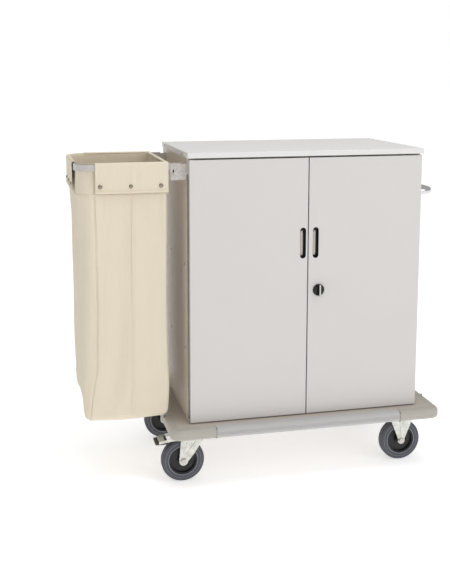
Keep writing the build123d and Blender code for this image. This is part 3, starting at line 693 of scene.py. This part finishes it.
HANG_FRAMES = 22
HELD_ABOVE = 1.04                      # the neck is held by the hoop above this height
MOST_MOVE = 0.007                      # no point settles further than this
held = bag.vertex_groups.new(name="held")
for i, point in enumerate(points):
    if point[2] > HELD_ABOVE:
        held.add([i], 1.0, "REPLACE")
before = np.array(points)
hang = bag.modifiers.new("hang", "CLOTH")
hang.settings.quality = 5
hang.settings.mass = 0.02
hang.settings.tension_stiffness = 40
hang.settings.compression_stiffness = 40
hang.settings.shear_stiffness = 15
hang.settings.bending_stiffness = 6
hang.settings.air_damping = 2
hang.settings.vertex_group_mass = "held"
for i in range(1, HANG_FRAMES + 1):
    scene.frame_set(i)
settled = bag.evaluated_get(bpy.context.evaluated_depsgraph_get()).data
after = np.array([v.co for v in settled.vertices])
bag.modifiers.remove(hang)
move = after - before
far = np.linalg.norm(move, axis=1)[:, None]
points = before + move * np.minimum(1, MOST_MOVE / np.maximum(far, 1e-9))
bag.data.vertices.foreach_set("co", points.astype(np.float32).ravel())
bag.data.update()
scene.frame_set(1)
points = np.array(points, float)

wall_thickness = bag.modifiers.new("cloth", "SOLIDIFY")
wall_thickness.thickness = CLOTH
wall_thickness.offset = 0
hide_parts("canvas_bag")


# ---- Bag seams ----
# The lapped seam down the middle of the front and rear and the band sewn round the sack
# under the flaps: a folded strip of the same duck, stitched along both edges.

SEAM_W, BAND_W = 0.009, 0.008
SEAM_PROUD = 0.0011
BAND_HEIGHT = 1.012
seam_shapes, seam_places, stitch_spots = [], [], []


def lap(line, sideways, outward, width):
    """A folded strip along a line of points, rounded over its two edges."""
    section = [(-0.5, 0.2), (-0.46, 0.75), (-0.3, 1.0), (0.3, 1.0), (0.46, 0.75), (0.5, 0.2)]
    n = len(section)
    shape_points, places, run = [], [], 0.0
    for k, spot in enumerate(line):
        run += (Vector(spot) - Vector(line[k - 1])).length if k else 0
        for s, t in section:
            shape_points.append(Vector(spot) + Vector(sideways[k]) * s * width
                                + Vector(outward[k]) * (t * SEAM_PROUD + CLOTH / 2 - 0.0002))
            places.append((s * width, run))
    shape_faces = [(k * n + i, k * n + i + 1, (k + 1) * n + i + 1, (k + 1) * n + i)
                   for k in range(len(line) - 1) for i in range(n - 1)]
    return shape_points, shape_faces, places


def add_lap(line, sideways, outward, width):
    shape_points, shape_faces, places = lap(line, sideways, outward, width)
    seam_shapes.append((shape_points, shape_faces))
    seam_places.extend(places)
    for edge in (-0.36, 0.36):
        stitch_spots.append(([Vector(p) + Vector(s) * edge * width + Vector(o) * (SEAM_PROUD + CLOTH / 2)
                              for p, s, o in zip(line, sideways, outward)], outward))


SEAM_SLANT = 0.012                     # the seam leans this much per metre of drop
flaps_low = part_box("bag_flaps")[0]
front_x = (low.x + 0.063, high.x + 0.001)
wall_rows = [r for r in range(len(FLOOR_RINGS) + 4, rows) if points[r * RING][2] < 1.02]
for first, out in ((0, -1), (ACROSS + ALONG + 2 * TURN, 1)):
    line = []
    for r in wall_rows:
        side = points[r * RING + first:r * RING + first + ACROSS + 1]
        side = side[np.argsort(side[:, 0])]
        x = sum(front_x) / 2 + 0.003 - SEAM_SLANT * (flaps_low.z - side[0][2])
        line.append([np.interp(x, side[:, 0], side[:, k]) for k in range(3)])
    add_lap(line, [(1, 0, 0)] * len(line), [(0, out, 0)] * len(line), SEAM_W)

band_row = min(range(len(FLOOR_RINGS), rows), key=lambda r: abs(points[r * RING][2] - BAND_HEIGHT))
band = [points[band_row * RING + i % RING] for i in range(RING + 1)]
band_out = []
for i in range(RING + 1):
    step = Vector(band[(i + 1) % RING]) - Vector(band[(i - 1) % RING])
    band_out.append(Vector((step.y, -step.x, 0)).normalized())
add_lap(band, [(0, 0, 1)] * len(band), band_out, BAND_W)
seams = made("bag_seams", *joined(seam_shapes), natural_duck, "cabinet", "canvas")
lay_weave(seams, seam_places)


# ---- Bag flaps ----
# Four extensions of the sack's top edge, folded outwards over the hoop and down: front,
# rear, end and cabinet side. Each has a turned-up hem and is snapped to the sack.

TOP_CLEAR = 0.0043                     # cloth over the bar's top
hoop_low, hoop_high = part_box("bag_hoop")
bar_front = low.y + 0.002              # the bar's middle line, inside the sack's outer face
bar_rear = high.y - 0.002
bar_end = low.x + 0.002
bar_cabinet = high.x - 0.003
FOLD_R = 0.0072                        # height of the fold over the bar
INNER, OUTER_TOP, OUTER_LOW = 0.0070, 0.0068, 0.0044    # the flap's distances from the bar's middle
HEM = 0.013
HANG_FROM = 13                         # the section's points from here on hang down


def fold_path(low_z):
    """The flap's section, from the sack's mouth over the bar and down: (outwards, height)."""
    crown = hoop_high.z + TOP_CLEAR - FOLD_R
    middle_out, half = (OUTER_TOP - INNER) / 2, (OUTER_TOP + INNER) / 2
    path = []
    for i in range(2, 16):
        angle = math.pi * (1 - i / 16)
        path.append((middle_out + half * math.cos(angle), crown + FOLD_R * math.sin(angle)))
    drop = np.linspace(0, 1, 24)
    for share in drop:
        path.append((OUTER_TOP + (OUTER_LOW - OUTER_TOP) * share ** 0.7,
                     crown + (low_z - crown) * share))
    return path


def flap(name, start, end, outward, low_z, flare=0.0, seam=True):
    """A strip of cloth over the bar from start to end, with a hem along its lower edge."""
    start, end, outward = Vector(start), Vector(end), Vector(outward)
    length = (end - start).length
    columns = max(8, int(length / 0.0032))
    path = fold_path(low_z)
    spots, places = [], []
    for c in range(columns + 1):
        share = c / columns
        along = start + (end - start) * share
        off_middle = (share - 0.5) * length
        edge = min(share, 1 - share) * length
        run = 0.0
        for k, (out, z) in enumerate(path):
            run += math.dist(path[k], path[k - 1]) if k else 0
            hanging = min(1, max(0, (hoop_low.z - z) / (hoop_low.z - low_z))) if k > HANG_FROM else 0
            wave = 0.0009 * math.sin(23 * off_middle + 1.3) + 0.0006 * math.sin(61 * off_middle)
            out += hanging * (wave + flare * (0.35 + 0.65 * (2 * share - 1) ** 2))
            if k > HANG_FROM:
                out += 0.0008 * (1 if z < low_z + HEM else 0)
                if seam:
                    out += 0.0010 * min(1, max(0, (0.0055 - abs(off_middle - 0.003)) / 0.0012))
                out += 0.0006 * max(0, 1 - edge / 0.004)
            z_here = z - (0.0008 * max(0, 1 - edge / 0.006) if k > HANG_FROM + 8 else 0)
            spots.append(along + outward * out + Vector((0, 0, z_here)))
            places.append((share * length, run))
    n = len(path)
    strip_faces = [(c * n + k, c * n + k + 1, (c + 1) * n + k + 1, (c + 1) * n + k)
                   for c in range(columns) for k in range(n - 1)]
    piece = made(name, spots, strip_faces, natural_duck, "cabinet", "canvas")
    lay_weave(piece, places)
    thick = piece.modifiers.new("cloth", "SOLIDIFY")
    thick.thickness = CLOTH
    thick.offset = 0
    face_out = OUTER_LOW + CLOTH / 2 + 0.0009
    for up in (HEM - 0.001, HEM - 0.0035 - 0.001):
        line = []
        for c in range(1, columns):
            spot = spots[c * n + n - 1 - max(1, round(up * 24 / (hoop_high.z - low_z)))]
            line.append(Vector((spot.x, spot.y, low_z + up)) + outward * (CLOTH / 2 + 0.0003))
        stitch_spots.append((line, [outward] * len(line)))
    return piece, face_out


cabinet_flap_low = flaps_low.z + 0.020
end_y = (low.y + 0.086, high.y - 0.066)
cabinet_y = (low.y + 0.016, high.y - 0.016)
front_flap, front_out = flap("bag_flap_front", (front_x[0], bar_front, 0), (front_x[1], bar_front, 0),
                             (0, -1, 0), flaps_low.z)
flap("bag_flap_rear", (front_x[1], bar_rear, 0), (front_x[0], bar_rear, 0), (0, 1, 0), flaps_low.z)
flap("bag_flap_end", (bar_end, end_y[1], 0), (bar_end, end_y[0], 0), (-1, 0, 0), flaps_low.z,
     flare=0.0035, seam=False)
flap("bag_flap_cabinet", (bar_cabinet, cabinet_y[0], 0), (bar_cabinet, cabinet_y[1], 0), (1, 0, 0),
     cabinet_flap_low, seam=False)
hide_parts("bag_flaps")


# ---- Stitching ----
# Two rows of cotton thread along every hem and seam, one short stitch every 4 mm, each
# pulled into the cloth at its ends.

STITCH_PITCH, STITCH_LONG, STITCH_R = 0.0042, 0.0030, 0.00038


def stitch(at, direction, outward):
    """One short rounded stitch lying on the cloth."""
    across = direction.cross(outward).normalized()
    spots = []
    for along, size, lift in ((-0.5, 0.15, -0.3), (-0.3, 0.9, 0.3), (0.3, 0.9, 0.3), (0.5, 0.15, -0.3)):
        for i in range(5):
            angle = 2 * math.pi * i / 5
            round_it = across * math.cos(angle) + outward * math.sin(angle)
            spots.append(at + direction * along * STITCH_LONG + round_it * STITCH_R * size
                         + outward * lift * STITCH_R)
    stitch_faces = [(r * 5 + i, r * 5 + (i + 1) % 5, r * 5 + 5 + (i + 1) % 5, r * 5 + 5 + i)
                    for r in range(3) for i in range(5)]
    return spots, stitch_faces + [(4, 3, 2, 1, 0), (15, 16, 17, 18, 19)]


stitches = []
for line, outward in stitch_spots:
    left_over = 0.0
    for k in range(len(line) - 1):
        a, b = Vector(line[k]), Vector(line[k + 1])
        length = (b - a).length
        at = left_over
        while at < length and length > 0:
            stitches.append(stitch(a + (b - a) * (at / length), (b - a).normalized(),
                                   Vector(outward[k])))
            at += STITCH_PITCH
        left_over = at - length
thread = Finish("cotton_thread", colour(222, 210, 186), 0.8)
thread.relief(thread.speckle(0.0004), 0.00005)
made("bag_stitching", *joined(stitches), thread.material, "cabinet", "canvas")


# ---- Snap studs ----
# Nickel-plated press studs, three on each of the front, rear and end flaps: a domed cap
# with a rolled rim, pressed through the flap.

DOME = [(0.0072, 0.0), (0.0074, 0.0004), (0.0070, 0.0009), (0.0064, 0.0010), (0.0062, 0.0014),
        (0.0056, 0.0025), (0.0044, 0.0034), (0.0028, 0.0040), (0.0012, 0.0042), (0.0003, 0.0043)]
nickel = Finish("snap_nickel", colour(150, 143, 130), 0.16, 1.0)
nickel.gloss(nickel.speckle(0.002), 0.12, 0.22)
nickel.relief(nickel.speckle(0.0015), 0.00003)
studs = []
for stud_low, stud_high in solids("bag_snaps"):
    size, spot = stud_high - stud_low, (stud_low + stud_high) / 2
    if size.x < size.y:
        seat, axis = Vector((bar_end - front_out - 0.0012, spot.y, spot.z)), (-1, 0, 0)
    elif spot.y < 0:
        seat, axis = Vector((spot.x, bar_front - front_out, spot.z)), (0, -1, 0)
    else:
        seat, axis = Vector((spot.x, bar_rear + front_out, spot.z)), (0, 1, 0)
    studs.append(turned(DOME, seat, axis, 28))
studs_piece = made("snap_studs", *joined(studs), nickel.material, "cabinet", "snap_chrome")
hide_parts("bag_snaps")


# ---- Push handle ----
# Chromed steel tube bent to a bow and welded to two flanges on the right side panel.

chrome = Finish("handle_chrome", colour(208, 210, 212), 0.14, 1.0)
chrome.gloss(chrome.speckle(0.05, 3), 0.10, 0.20)
chrome.relief(chrome.speckle(0.0007), 0.00001)
coat(chrome.material, "push_handle")


# ---- Casters ----
# Pressed steel forks and plates, bright zinc plated; grey rubber tyres bonded to black
# moulded centres, with a light bead where the two meet; brakes with a moulded toe pad.

zinc = Finish("zinc_plate", colour(228, 229, 223), 0.34, 0.7)
zinc.shade(zinc.speckle(0.02, 3), colour(192, 193, 184))
zinc.gloss(zinc.speckle(0.006, 3), 0.24, 0.42)
zinc.relief(zinc.speckle(0.0009), 0.00003)
coat(zinc.material, "swivel_plates", "swivel_fork_front", "swivel_fork_rear", "rigid_forks",
     "brake_lever_front", "brake_lever_rear", "bolt_case", "bolt_rod", "bolt_keeper", "lock_cam")

toe_pad = Finish("toe_pad", colour(72, 67, 60), 0.6)
toe_pad.shade(toe_pad.speckle(0.005, 3), colour(52, 48, 43))
toe_pad.relief(toe_pad.speckle(0.0012), 0.00012)
PAD_ROUND, PAD_UP, PAD_RIB = 0.0030, 0.0010, 0.0012
PAD_REACH = Vector((0.004, 0.0035, 0))                  # the moulding spreads past the plain pad
PAD_SLICES, PAD_DRAFT = 19, 0.86
for place in ("front", "rear"):
    low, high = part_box(f"brake_pad_{place}")
    low = low - PAD_REACH * 0.5
    high = high + PAD_REACH + Vector((PAD_REACH.x, 0, PAD_UP))
    outline = []
    corners = ((low.x, low.z, 180), (high.x, low.z, 270), (high.x, high.z, 0), (low.x, high.z, 90))
    for x, z, turn in corners:
        inward = Vector((math.copysign(1, (low.x + high.x) / 2 - x), 0,
                         math.copysign(1, (low.z + high.z) / 2 - z)))
        for i in range(6):
            angle = math.radians(turn + 90 * i / 5)
            outline.append((x + inward.x * PAD_ROUND + PAD_ROUND * math.cos(angle),
                            z + inward.z * PAD_ROUND + PAD_ROUND * math.sin(angle)))
    n = len(outline)
    centre = ((low.x + high.x) / 2, (low.z + high.z) / 2)
    points = []
    for k in range(PAD_SLICES):
        y = low.y + (high.y - low.y) * k / (PAD_SLICES - 1)
        draw = PAD_DRAFT if k in (0, PAD_SLICES - 1) else 1.0
        for x, z in outline:
            rib = PAD_RIB if k % 3 == 0 and z > centre[1] else 0
            points.append((centre[0] + (x - centre[0]) * draw, y,
                           centre[1] + (z - centre[1]) * draw - rib))
    faces = [(k * n + i, k * n + (i + 1) % n, (k + 1) * n + (i + 1) % n, (k + 1) * n + i)
             for k in range(PAD_SLICES - 1) for i in range(n)]
    faces += [tuple(range(n))[::-1], tuple(range((PAD_SLICES - 1) * n, PAD_SLICES * n))]
    pad = made(f"toe_pad_{place}", points, faces, toe_pad.material, f"brake_{place}", "brake_plastic")
    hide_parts(f"brake_pad_{place}")

rubber = Finish("tyre_rubber", colour(86, 87, 95), 0.62)
rubber.shade(rubber.speckle(0.012, 4), colour(76, 77, 84))
rubber.gloss(rubber.speckle(0.006, 3), 0.5, 0.72)
rubber.relief(rubber.speckle(0.0007), 0.00006)

hub_black = Finish("hub_black", colour(24, 24, 25), 0.42)
hub_black.shade(hub_black.speckle(0.008, 3), colour(10, 10, 12))
hub_black.relief(hub_black.speckle(0.0009), 0.00005)

bead = Finish("tyre_bead", colour(142, 145, 158), 0.5)
bead.shade(bead.speckle(0.004, 3), colour(118, 121, 132))
bead.relief(bead.speckle(0.0006), 0.00005)

BEAD_R = 0.0016
for place in ("front", "rear"):
    for end in ("left", "right"):
        wheel = f"{place}_{end}"
        coat(rubber.material, f"tyre_{wheel}")
        coat(hub_black.material, f"wheel_hub_{wheel}")
        hub_low, hub_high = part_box(f"wheel_hub_{wheel}")
        tyre_low, tyre_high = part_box(f"tyre_{wheel}")
        axle = (tyre_low + tyre_high) / 2
        rim = (hub_high.x - hub_low.x) / 2
        rings_round = []
        for face_y, out in ((tyre_low.y, -1), (tyre_high.y, 1)):
            for radius, thick in ((rim + 0.0018, BEAD_R), (rim + 0.0130, 0.0007)):
                section = [(radius + thick * math.cos(a), thick * 0.7 * math.sin(a))
                           for a in np.linspace(0, 2 * math.pi, 9)[:-1]]
                spot = (axle.x, face_y, axle.z)
                rings_round.append(turned(section, spot, (0, out, 0), 72, closed=True))
        made(f"tyre_bead_{wheel}", *joined(rings_round), bead.material, f"wheel_{wheel}", "tyre_rubber")


# ---- Size ----
# Takes the cart's size as it is now dressed; its size as loaded was taken after the import.

low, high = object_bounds()
